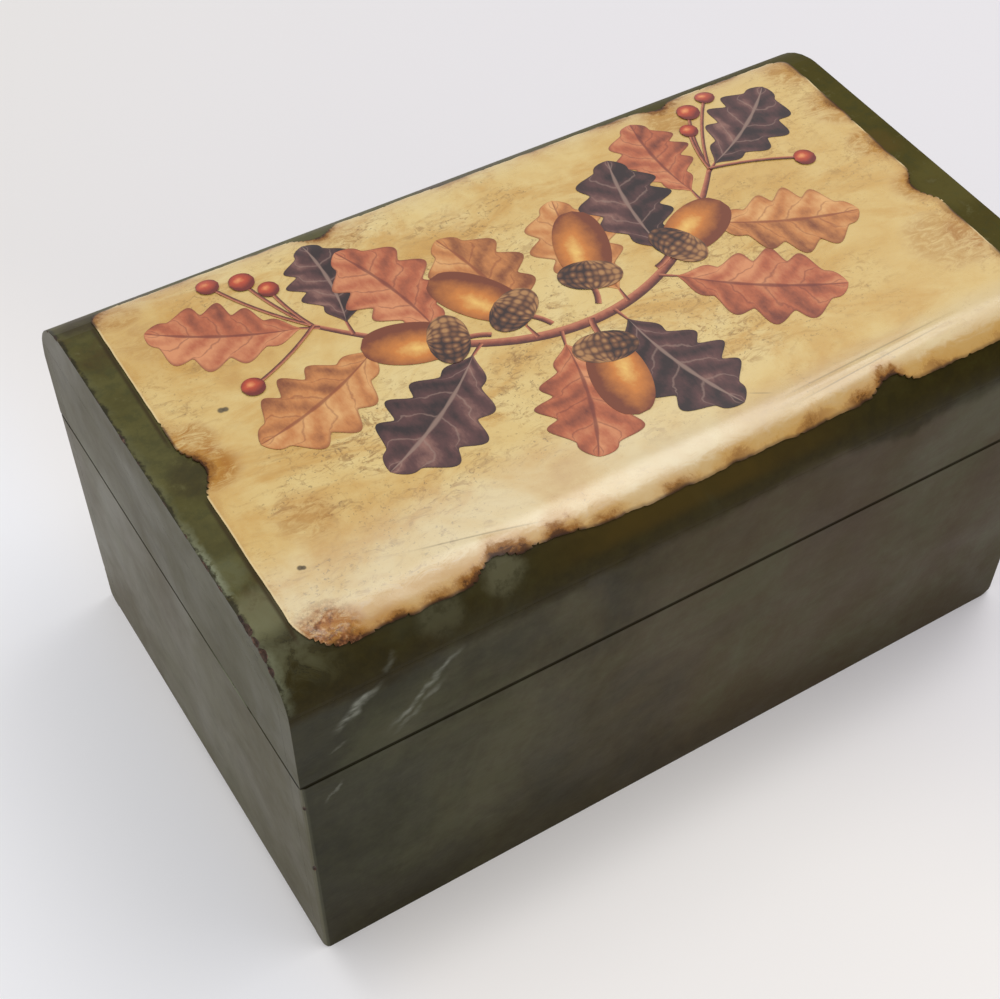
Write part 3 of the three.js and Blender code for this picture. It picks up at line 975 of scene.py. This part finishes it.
def inside_print(x, y):
    """How far points of the lid's plan lie inside the torn sheet, in millimetres; below zero outside it."""
    from_left = x - line_between("back_left", "front_left", y, "y") - tear_depth("left", y)
    from_right = line_between("front_right", "back_right", y, "y") - tear_depth("right", y) - x
    from_front = y - line_between("front_left", "front_right", x, "x") - tear_depth("front", x)
    from_back = line_between("back_left", "back_right", x, "x") - tear_depth("back", x) - y
    inside = np.minimum(np.minimum(from_left, from_right), np.minimum(from_front, from_back))
    for corner, radius in CORNER_ROUNDS.items():
        across = from_left if "left" in corner else from_right
        deep = from_front if "front" in corner else from_back
        at_corner = (across < radius) & (deep < radius)
        rounded = radius - np.hypot(radius - across, radius - deep)
        inside = np.where(at_corner, rounded, inside)
    return inside


def lid_height(y, lift):
    """The height of a skin that lies lift metres over the lid's rounded top."""
    front = FRONT_CENTRE.y - y
    back = y - BACK_CENTRE.y
    over = np.maximum(front, back)
    radius = np.where(front > back, FRONT_ROUND, BACK_ROUND) + lift
    centre = np.where(front > back, FRONT_CENTRE.z, BACK_CENTRE.z)
    arc = centre + np.sqrt(np.maximum(radius**2 - np.maximum(over, 0) ** 2, 0))
    return np.where(over > 0, arc, LID_TOP + lift)


def crease_height(points):
    """How far the print's creases lift or sink it, in millimetres."""
    x, y = points[:, 0] / MM, points[:, 1] / MM
    height = np.zeros_like(x)
    for x0, y0, x1, y1, half, rise in CREASES:
        run = math.hypot(x1 - x0, y1 - y0)
        along = ((x - x0) * (x1 - x0) + (y - y0) * (y1 - y0)) / run**2
        across = ((y - y0) * (x1 - x0) - (x - x0) * (y1 - y0)) / run / half
        swell = np.where(np.abs(across) < 1, (1 + np.cos(np.pi * across)) / 2, 0)
        taper = np.where((along > 0) & (along < 1), np.sin(np.pi * np.clip(along, 0, 1)) ** 0.5, 0)
        height += rise * swell * taper
    return height


def make_print():
    left, right, front, back = PRINT_GRID
    middle = ((left + right) / 2 * MM, (front + back) / 2 * MM, 0)
    sheet = flat_grid("torn_print", PRINT_CELLS)
    points = points_of(sheet) * ((right - left) * MM, (back - front) * MM, 0) + middle
    put_points(sheet, points)
    half_cell = (right - left) / PRINT_CELLS[0] / 2
    inside = inside_print(points[:, 0] / MM, points[:, 1] / MM)
    with editing(sheet, "vertices", inside < -half_cell):
        bpy.ops.mesh.delete(type="VERT")
    points = points_of(sheet)
    x, y = points[:, 0] / MM, points[:, 1] / MM
    inside = inside_print(x, y)
    step = 0.05
    slope_x = (inside_print(x + step, y) - inside_print(x - step, y)) / (2 * step)
    slope_y = (inside_print(x, y + step) - inside_print(x, y - step)) / (2 * step)
    steepness = np.maximum(np.hypot(slope_x, slope_y), 0.5)
    pull = np.where(inside < half_cell, -inside / steepness**2, 0)
    points[:, 0] += pull * slope_x * MM
    points[:, 1] += pull * slope_y * MM
    points[:, 2] = lid_height(points[:, 1], PRINT_LIFT * MM) + crease_height(points) * MM
    put_points(sheet, points)
    mark_points(sheet, "from_edge", np.maximum(np.where(inside < half_cell, 0, inside), 0))
    x, y = points[:, 0] / MM, points[:, 1] / MM
    burnt = np.zeros_like(x)
    for place_x, place_y, reach, strength in SCORCHES:
        near = np.clip(1 - np.hypot(x - place_x, y - place_y) / reach, 0, 1)
        burnt = np.maximum(burnt, strength * near * near * (3 - 2 * near))
    mark_points(sheet, "burnt", np.minimum(burnt * 1.5, 1))
    near = np.clip(1.5 - np.hypot(x - SCUFF[0], y - SCUFF[1]) / SCUFF[2], 0, 1)
    mark_points(sheet, "scuffed", near)
    thicken(sheet, PRINT_THICKNESS)
    dress(sheet, aged_parchment())
    rides(sheet, "lid", "paper", "lid_paper_print")


# The spray of oak on the print

# The bough's curve on the lid's plan, in millimetres: start, pull and end
BOUGH = (Vector((-52, 20)), Vector((0, -38)), Vector((52, 20)))
# Leaves: place along the bough, turn from its outward run in degrees, length, half width, tone, finish
LEAVES = (
    (0.01, 20, 33, 10.5, 0.7, "rust"),
    (0.06, -52, 27, 9.5, 0.2, "plum"),
    (0.11, 62, 35, 11.5, 0.5, "ochre"),
    (0.22, -46, 35, 11.5, 0.8, "rust"),
    (0.27, 60, 37, 12, 0.3, "plum"),
    (0.38, -70, 34, 11.5, 0.4, "ochre"),
    (0.43, 78, 33, 12, 0.6, "rust"),
    (0.56, -86, 34, 12, 0.2, "plum"),
    (0.60, 72, 33, 11, 0.7, "ochre"),
    (0.70, -58, 38, 12.5, 0.6, "rust"),
    (0.75, 50, 33, 11.5, 0.2, "plum"),
    (0.86, -62, 35, 11.5, 0.6, "ochre"),
    (0.92, 44, 28, 10, 0.5, "rust"),
    (0.99, -14, 33, 10.5, 0.3, "plum"),
)
# Acorns: middle of the cup's mouth, turn of the nut in degrees, length of the nut
ACORNS = ((-13, 3, 122, 20), (8, 4, 68, 21), (-30, 2, 158, 18), (31, 2, 24, 18), (-2, -18, -104, 20))
# Berries: middle and half width
BERRIES = (
    (-59, 40, 2.9), (-66, 42.5, 2.6), (-55, 35, 2.4), (-71, 10, 2.6),
    (60, 40, 2.9), (67, 43, 2.5), (56, 34, 2.3), (74, 12, 2.7),
)
# Inks of the leaves: dark, middle, light and vein
LEAF_INKS = {
    "rust": ((112, 52, 36), (182, 98, 62), (216, 144, 98), (108, 44, 36)),
    "plum": ((42, 24, 25), (92, 56, 54), (156, 112, 98), (158, 130, 116)),
    "ochre": ((130, 70, 36), (198, 128, 70), (226, 172, 110), (132, 62, 34)),
}
NUT_INK = ((120, 58, 30), (206, 126, 52), (236, 190, 104))
BERRY_INK = ((112, 34, 26), (190, 74, 42), (234, 150, 92))
LAYER = 0.02  # each cut-out lies this much over the one before, in millimetres


def lobed(u):
    """An oak leaf's half width from its base to its tip, one at its widest."""
    whole = np.sin(np.pi * np.clip(u, 0, 1) ** 1.25) ** 0.72
    lobes = 0.5 + 0.5 * np.cos(2 * np.pi * (4.6 * u - 0.55))
    return whole * (0.66 + 0.34 * lobes ** 0.7)


def egg(u):
    """A nut's half width, with a short point at its tip."""
    whole = np.sqrt(np.clip(1 - (2 * u - 1) ** 2, 0, 1)) ** 0.85
    point = 0.06 * np.clip(1 - np.abs(u - 0.97) / 0.06, 0, 1)
    return np.maximum(whole, point * (u < 1))


def disc(u):
    return np.sqrt(np.clip(1 - (2 * u - 1) ** 2, 0, 1))


def slim_ends(u):
    return 0.45 + 0.55 * np.sin(np.pi * u)


def tapered(u):
    return 1 - 0.55 * u


def cut_out(name, base, tip, bend, half_width, outline, layer, cells=(48, 12), tone=0.5):
    """One thin piece of printed paper, from its base to its tip over a bent middle line."""
    piece = flat_grid(name, cells)
    grid = points_of(piece)
    u, v = grid[:, 0] + 0.5, grid[:, 1] * 2
    run = tip - base
    middle = (base + tip) / 2 + Vector((-run.y, run.x)) * bend
    weights = ((1 - u) ** 2, 2 * u * (1 - u), u**2)
    slopes = (-2 * (1 - u), 2 - 4 * u, 2 * u)
    spine, slope = (
        [sum(w * p[axis] for w, p in zip(shares, (base, middle, tip))) for axis in (0, 1)]
        for shares in (weights, slopes)
    )
    length = np.hypot(*slope)
    reach = half_width * outline(u) * v
    x = (spine[0] - slope[1] / length * reach) * MM
    y = (spine[1] + slope[0] / length * reach) * MM
    flat = np.stack((x, y, np.zeros_like(x)), axis=1)
    lift = (PRINT_LIFT + 0.02 + LAYER * layer + crease_height(flat)) * MM
    flat[:, 2] = lid_height(y, lift)
    put_points(piece, flat)
    mark_points(piece, "tone", np.full(len(flat), tone))
    with editing(piece):
        bpy.ops.mesh.remove_doubles(threshold=0.003 * MM)
    return piece


def point_at(place, turn, length):
    angle = math.radians(turn)
    return Vector(place) + Vector((math.cos(angle), math.sin(angle))) * length


def bough_at(t):
    start, pull, end = BOUGH
    place = start * (1 - t) ** 2 + pull * 2 * t * (1 - t) + end * t**2
    heading = (pull - start) * (1 - t) + (end - pull) * t
    outward = math.degrees(math.atan2(heading.y, heading.x)) + (180 if t < 0.5 else 0)
    return place, outward


def glue_down(pieces, name, finish):
    """Joins cut-outs of one ink into a piece and gives them the thickness of thin paper."""
    deselect_all()
    for piece in pieces:
        piece.select_set(True)
    bpy.context.view_layer.objects.active = pieces[0]
    bpy.ops.object.join()
    joined = bpy.context.object
    joined.name = joined.data.name = name
    thicken(joined, 0.8 * LAYER)
    dress(joined, finish)
    rides(joined, "lid", "paper")


def make_spray():
    inks = {ink: printed_leaf(f"ink_{ink}_leaf", *tones) for ink, tones in LEAF_INKS.items()}
    start, pull, end = BOUGH
    bend = ((pull - (start + end) / 2).length) / (end - start).length
    twigs = [cut_out("twig", start, end, -bend, 1.3, slim_ends, 0, (90, 4))]
    leaves = {ink: [] for ink in inks}
    for index, (t, turn, length, half, tone, ink) in enumerate(LEAVES):
        place, outward = bough_at(t)
        foot = point_at(place, outward + turn, 4)
        tip = point_at(place, outward + turn, 4 + length)
        bend = 0.10 if turn > 0 else -0.10
        leaf = cut_out("leaf", foot, tip, bend, half, lobed, 2 + index % 4, (96, 14), tone)
        leaves[ink].append(leaf)
        stalk_end = point_at(place, outward + turn, 6)
        twigs.append(cut_out("stalk", place, stalk_end, 0, 0.5, tapered, 1.0, (6, 3)))
    for ink, made in leaves.items():
        glue_down(made, f"print_{ink}_leaves", inks[ink])
    nuts, cups = [], []
    for x, y, turn, length in ACORNS:
        mouth = Vector((x, y))
        foot, tip = point_at(mouth, turn, -3), point_at(mouth, turn, length)
        nuts.append(cut_out("nut", foot, tip, 0, 6.4, egg, 6, (30, 16)))
        mouth_side, back = point_at(mouth, turn, 4), point_at(mouth, turn, -5.5)
        cups.append(cut_out("cup", mouth_side, back, 0, 7.4, disc, 7, (20, 16)))
        stalk_end = point_at(mouth, turn, -10)
        stalk_start = point_at(mouth, turn, -5)
        twigs.append(cut_out("stalk", stalk_start, stalk_end, 0.1, 0.7, np.ones_like, 5, (8, 3)))
    glue_down(nuts, "print_nuts", printed_round("ink_nut", *NUT_INK, 0.003))
    glue_down(cups, "print_cups", printed_scales())
    berries = []
    for index, (x, y, half) in enumerate(BERRIES):
        left, right = Vector((x - half, y)), Vector((x + half, y))
        berries.append(cut_out("berry", left, right, 0, half, disc, 13, (14, 14)))
        nearer = BOUGH[0] if x < 0 else BOUGH[2]
        layer = 8.5 + index % 4
        twigs.append(cut_out("stalk", nearer, Vector((x, y)), 0.08, 0.4, np.ones_like, layer, (12, 3)))
    glue_down(berries, "print_berries", printed_round("ink_berry", *BERRY_INK, 0.002))
    glue_down(twigs, "print_twigs", printed_twig())


# Studio

FLOOR_GLOW = 0.37  # how much of the floor's own colour the camera sees where a shadow falls


def make_floor():
    deselect_all()
    bpy.ops.mesh.primitive_plane_add(size=8)
    floor = bpy.context.object
    floor.name = "floor"
    f = Finish("pale_floor", roughness=0.6)
    x, y, _ = f.split(f.place())
    # Painted light: the floor is paler towards the front left of the box to even out the lamp's falloff,
    # cooler to the left and warmer to the right
    warm = f.fade(f.sum("MULTIPLY_ADD", y, 0.6, f.both(x, -1)), -0.1, 0.6)
    far = f.blend(warm, (232, 229, 232), (236, 233, 225))
    near = f.fade(f.sum("MULTIPLY_ADD", y, 0.6, x), 0.06, -0.06)
    front = f.blend(f.fade(x, -0.118, -0.078), (247, 247, 250), (248, 244, 241))
    f.colour = f.blend(near, far, front)
    glow = f.add("ShaderNodeEmission", {"Color": f.colour, "Strength": 1})
    rays = f.add("ShaderNodeLightPath").outputs
    mirrored = f.sum("ADD", rays["Is Glossy Ray"], rays["Is Transmission Ray"])
    seen = f.sum("ADD", rays["Is Camera Ray"], mirrored, clamp=True)
    # At the foot of the front the shadow keeps its full depth
    foot = f.both(
        f.fade(y, -0.090, -0.060),
        f.fade(y, 0.050, 0.0),
        f.fade(x, -0.104, -0.095),
        f.fade(x, 0.135, 0.095),
    )
    share = f.both(seen, f.fade(foot, 0, 1, FLOOR_GLOW, 0.0))
    mixed = f.add("ShaderNodeMixShader", {0: share, 1: f.shader.outputs[0], 2: glow.outputs[0]})
    f.tree.links.new(mixed.outputs[0], f.tree.nodes["Material Output"].inputs["Surface"])
    dress(floor, f.done())


def make_softbox(place, aim, along, size, power):
    """A soft light whose long side runs along a direction."""
    light = bpy.data.lights.new("long_softbox", "AREA")
    light.shape = "RECTANGLE"
    light.size, light.size_y = size
    light.energy = power
    lamp = bpy.data.objects.new("long_softbox", light)
    bpy.context.scene.collection.objects.link(lamp)
    lamp.location = place
    backward = (Vector(place) - Vector(aim)).normalized()
    sideways = Vector(along).cross(backward).normalized()
    upward = backward.cross(sideways)
    lamp.rotation_mode = "QUATERNION"
    lamp.rotation_quaternion = Matrix((sideways, upward, backward)).transposed().to_quaternion()


def make_studio():
    make_floor()
    make_softbox(
        place=(0.58, -0.02, 1.46),
        aim=(0, -0.03, 0.1),
        along=(0.36, 0.90, -0.26),
        size=(0.60, 1.25),
        power=9.4,
    )
    world = bpy.data.worlds.new("studio")
    world.use_nodes = True
    sky = world.node_tree.nodes["Background"]
    sky.inputs["Color"].default_value = (0.99, 0.99, 1.0, 1)
    sky.inputs["Strength"].default_value = 0.67
    bpy.context.scene.world = world


def make_camera():
    place = Vector((-0.16162, -0.23487, 0.36206))
    aim = Vector((-0.02344, -0.03603, 0.052))
    camera = bpy.data.cameras.new("camera")
    camera.sensor_width = 36
    camera.lens = 62.55
    camera.shift_x, camera.shift_y = -0.06, 0.10
    camera.clip_start = 0.01
    stand = bpy.data.objects.new("camera", camera)
    bpy.context.scene.collection.objects.link(stand)
    stand.location = place
    stand.rotation_mode = "QUATERNION"
    roll = Quaternion((0, 0, 1), math.radians(2.815))
    stand.rotation_quaternion = (aim - place).to_track_quat("-Z", "Y") @ roll
    bpy.context.scene.camera = stand


make_camera()
make_case()
make_hinges()
make_print()
make_spray()
make_studio()
bpy.context.scene.view_settings.view_transform = "Standard"
